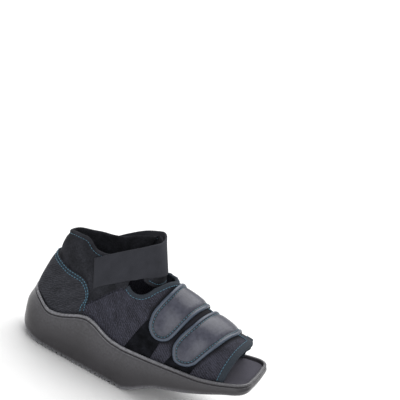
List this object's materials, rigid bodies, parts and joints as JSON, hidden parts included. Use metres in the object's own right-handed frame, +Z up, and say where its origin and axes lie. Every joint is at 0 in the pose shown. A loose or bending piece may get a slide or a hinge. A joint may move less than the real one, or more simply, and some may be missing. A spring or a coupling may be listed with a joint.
{
  "type": "postoperative shoe",
  "caption": "Open-toe postoperative shoe with a heel wedge sole, padded heel collar, wrap-over mesh upper, padded forefoot straps and an ankle strap.",
  "frame": {"origin": "centre of the bounding box in plan, at the underside of the tread bars", "axes": "+X from the heel towards the toe, +Y towards the inner side of the foot, +Z up; a right shoe standing flat on its tread"},
  "size_m": [0.2638, 0.0986, 0.1637],
  "materials": {
    "sole_foam": "matte moulded foam",
    "insole_foam": "matte covered foam",
    "collar_fabric": "matte padded cloth",
    "counter_fabric": "matte mesh cloth",
    "mesh_fabric": "matte mesh cloth",
    "pile_fabric": "short brushed pile",
    "strap_leather": "satin coated leather cloth",
    "ankle_webbing": "smooth brushed band"
  },
  "bodies": {
    "root": {"sole": "sole_foam", "insole": "insole_foam", "collar": "collar_fabric", "heel_counter": "counter_fabric", "lateral_quarter": "mesh_fabric", "medial_quarter": "mesh_fabric", "loop_band_rear": "pile_fabric", "loop_band_front": "pile_fabric", "strap_rear": "strap_leather", "strap_front": "strap_leather", "ankle_strap": "ankle_webbing", "ankle_tab": "collar_fabric"}
  },
  "joints": []
}
